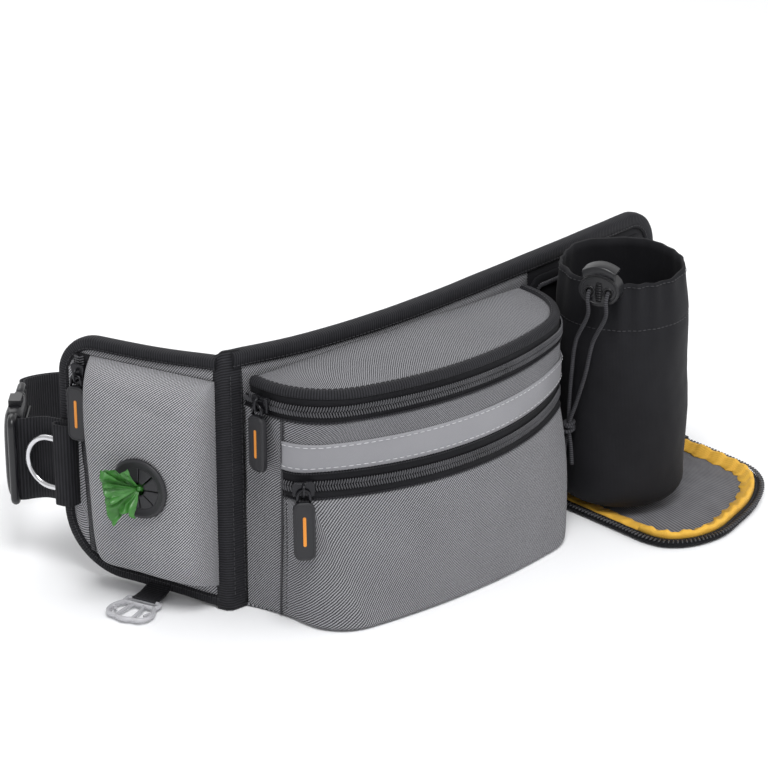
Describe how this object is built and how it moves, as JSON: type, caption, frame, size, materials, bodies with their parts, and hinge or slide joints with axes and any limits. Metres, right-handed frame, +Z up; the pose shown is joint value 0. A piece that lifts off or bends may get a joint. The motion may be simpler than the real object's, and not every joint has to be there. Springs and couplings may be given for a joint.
{
  "type": "treat pouch",
  "caption": "Waist-worn treat pouch with a zipped main pouch, front pocket, waste-bag dispenser, drawstring bottle sleeve on a stow flap and webbing belt.",
  "frame": {"origin": "centre of the main pouch's flat bottom", "axes": "+Z up, -Y to the front of the bag, +X to the right when the front is looked at"},
  "size_m": [0.4442, 0.3, 0.1683],
  "materials": {
    "grey_fabric": "two-tone grey diagonal weave",
    "black_tape": "ribbed black grosgrain and webbing",
    "black_fabric": "plain black woven nylon",
    "mesh_fabric": "black spacer mesh",
    "dark_lining": "dark grey lining",
    "yellow_lining": "gathered yellow lining",
    "reflective": "silver-grey reflective tape",
    "rubber": "matt dark grey rubber",
    "black_plastic": "moulded black acetal",
    "dark_metal": "black-enamelled zinc",
    "light_plastic": "pale grey moulded acetal",
    "chrome": "polished plating",
    "green_film": "thin crinkled green film",
    "card": "rolled card",
    "cord": "black elastic cord"
  },
  "bodies": {
    "bag": {"back_panel": "grey_fabric", "left_wing_panel": "grey_fabric", "left_gusset": "grey_fabric", "right_gusset": "grey_fabric", "front_pocket_panel": "grey_fabric", "upper_band": "grey_fabric", "pouch_bottom": "grey_fabric", "bag_pocket": "grey_fabric", "pocket_edge_strip": "grey_fabric", "back_binding": "black_tape", "fold_strip": "black_tape", "left_wing_binding": "black_tape", "front_zip": "black_tape", "top_zip_lower": "black_tape", "bag_zip": "black_tape", "wing_zip": "black_tape", "belt_tab": "black_tape", "d_ring_loop": "black_tape", "waist_strap": "black_tape", "strap_free_end": "black_tape", "right_wing_panel": "black_fabric", "bottle_sleeve": "black_fabric", "sleeve_gusset": "black_fabric", "back_mesh_pad": "mesh_fabric", "pocket_divider": "dark_lining", "reflective_strip": "reflective", "dispenser_grommet": "rubber", "grommet_backing": "rubber", "buckle_female": "black_plastic", "buckle_male": "black_plastic", "waste_bag_tail": "green_film", "drawcord_left": "cord", "drawcord_right": "cord", "drawcord_knot": "cord"},
    "lid": {"lid_panel": "grey_fabric", "lid_binding": "black_tape", "top_zip_upper": "black_tape"},
    "top_slider": {"top_slider": "dark_metal"},
    "top_pull": {"top_pull_ring": "dark_metal", "top_pull_tab": "rubber"},
    "front_slider": {"front_slider": "dark_metal"},
    "front_pull": {"front_pull_ring": "dark_metal", "front_pull_tab": "rubber"},
    "bag_slider": {"bag_slider": "dark_metal"},
    "bag_pull": {"bag_pull_ring": "dark_metal", "bag_pull_tab": "rubber"},
    "d_ring": {"d_ring": "chrome"},
    "bag_roll": {"waste_bag_roll": "green_film", "roll_core": "card"},
    "stow_flap": {"flap_panel": "grey_fabric", "flap_lining_rim": "yellow_lining", "flap_zip": "black_tape"},
    "stow_slider": {"stow_slider": "dark_metal"},
    "cord_lock": {"cord_lock_body": "black_plastic", "cord_lock_spring": "chrome"},
    "cord_lock_button": {"cord_lock_button": "black_plastic"},
    "clip": {"clip_tab": "black_tape", "mini_clip": "light_plastic"},
    "buckle_arm_upper": {"buckle_arm_upper": "black_plastic"},
    "buckle_arm_lower": {"buckle_arm_lower": "black_plastic"}
  },
  "joints": [
    {"name": "lid_open", "type": "hinge", "parent": "bag", "child": "lid", "pos_m": [0, 0.025, 0.138], "axis": [-1, 0, 0], "range_deg": [0, 75]},
    {"name": "top_slider_run", "type": "hinge", "parent": "bag", "child": "top_slider", "pos_m": [-0.06011, 0.01874, 0.129], "axis": [0, 0, 1], "range_deg": [0, 66]},
    {"name": "top_pull_swing", "type": "hinge", "parent": "top_slider", "child": "top_pull", "pos_m": [-0.10923, 0.01703, 0.129], "axis": [-0.0349, 0.9994, 0], "range_deg": [0, 150]},
    {"name": "front_slider_run", "type": "hinge", "parent": "bag", "child": "front_slider", "pos_m": [0, 0.128, 0.085], "axis": [0, 0, 1], "range_deg": [0, 70]},
    {"name": "front_pull_swing", "type": "hinge", "parent": "front_slider", "child": "front_pull", "pos_m": [-0.10051, -0.01034, 0.085], "axis": [-0.809, 0.5878, 0], "range_deg": [0, 140]},
    {"name": "bag_slider_run", "type": "slide", "parent": "bag", "child": "bag_slider", "axis": [0.0174, -0.0478, -0.9987], "range_m": [0, 0.09]},
    {"name": "bag_pull_swing", "type": "hinge", "parent": "bag_slider", "child": "bag_pull", "pos_m": [-0.15314, 0.12016, 0.126], "axis": [-0.342, 0.9397, 0], "range_deg": [0, 150]},
    {"name": "d_ring_swing", "type": "hinge", "parent": "bag", "child": "d_ring", "pos_m": [-0.15768, 0.1332, 0.0695], "axis": [0, 0, 1], "range_deg": [0, 120]},
    {"name": "bag_roll_turn", "type": "hinge", "parent": "bag", "child": "bag_roll", "pos_m": [-0.13994, 0.07687, 0.044], "axis": [0, 0, 1], "continuous": true},
    {"name": "stow_flap_fold", "type": "hinge", "parent": "bag", "child": "stow_flap", "pos_m": [0.17675, 0.042, 0.002], "axis": [-0.9935, -0.1136, 0], "range_deg": [0, 78], "deforming": ["bottle_sleeve", "drawcord_left", "drawcord_right", "drawcord_knot"]},
    {"name": "stow_slider_run", "type": "slide", "parent": "stow_flap", "child": "stow_slider", "axis": [-0.0127, -0.9999, 0], "range_m": [0, 0.048]},
    {"name": "cord_lock_shift", "type": "slide", "parent": "bag", "child": "cord_lock", "axis": [0.1094, 0.994, 0], "range_m": [0, 0.044]},
    {"name": "cord_lock_press", "type": "slide", "parent": "cord_lock", "child": "cord_lock_button", "axis": [0, 0, -1], "range_m": [0, 0.004], "stiffness_N_per_m": 400, "springref_m": -0.002, "deforming": ["cord_lock_spring"]},
    {"name": "clip_swing", "type": "hinge", "parent": "bag", "child": "clip", "pos_m": [-0.13208, 0.07867, 0.0018], "axis": [-0.342, 0.9397, 0], "range_deg": [-75, 30]},
    {"name": "buckle_arm_upper_press", "type": "hinge", "parent": "bag", "child": "buckle_arm_upper", "pos_m": [-0.14765, 0.18495, 0.086], "axis": [0.7422, -0.6702, 0], "range_deg": [0, 7], "stiffness_Nm_per_rad": 1},
    {"name": "buckle_arm_lower_press", "type": "hinge", "parent": "bag", "child": "buckle_arm_lower", "pos_m": [-0.14765, 0.18495, 0.046], "axis": [-0.7422, 0.6702, 0], "range_deg": [0, 7], "stiffness_Nm_per_rad": 1}
  ],
  "couplings": [
    {"joint": "cord_lock_shift", "follows": "stow_flap_fold", "m_per_rad": 0.03231}
  ]
}
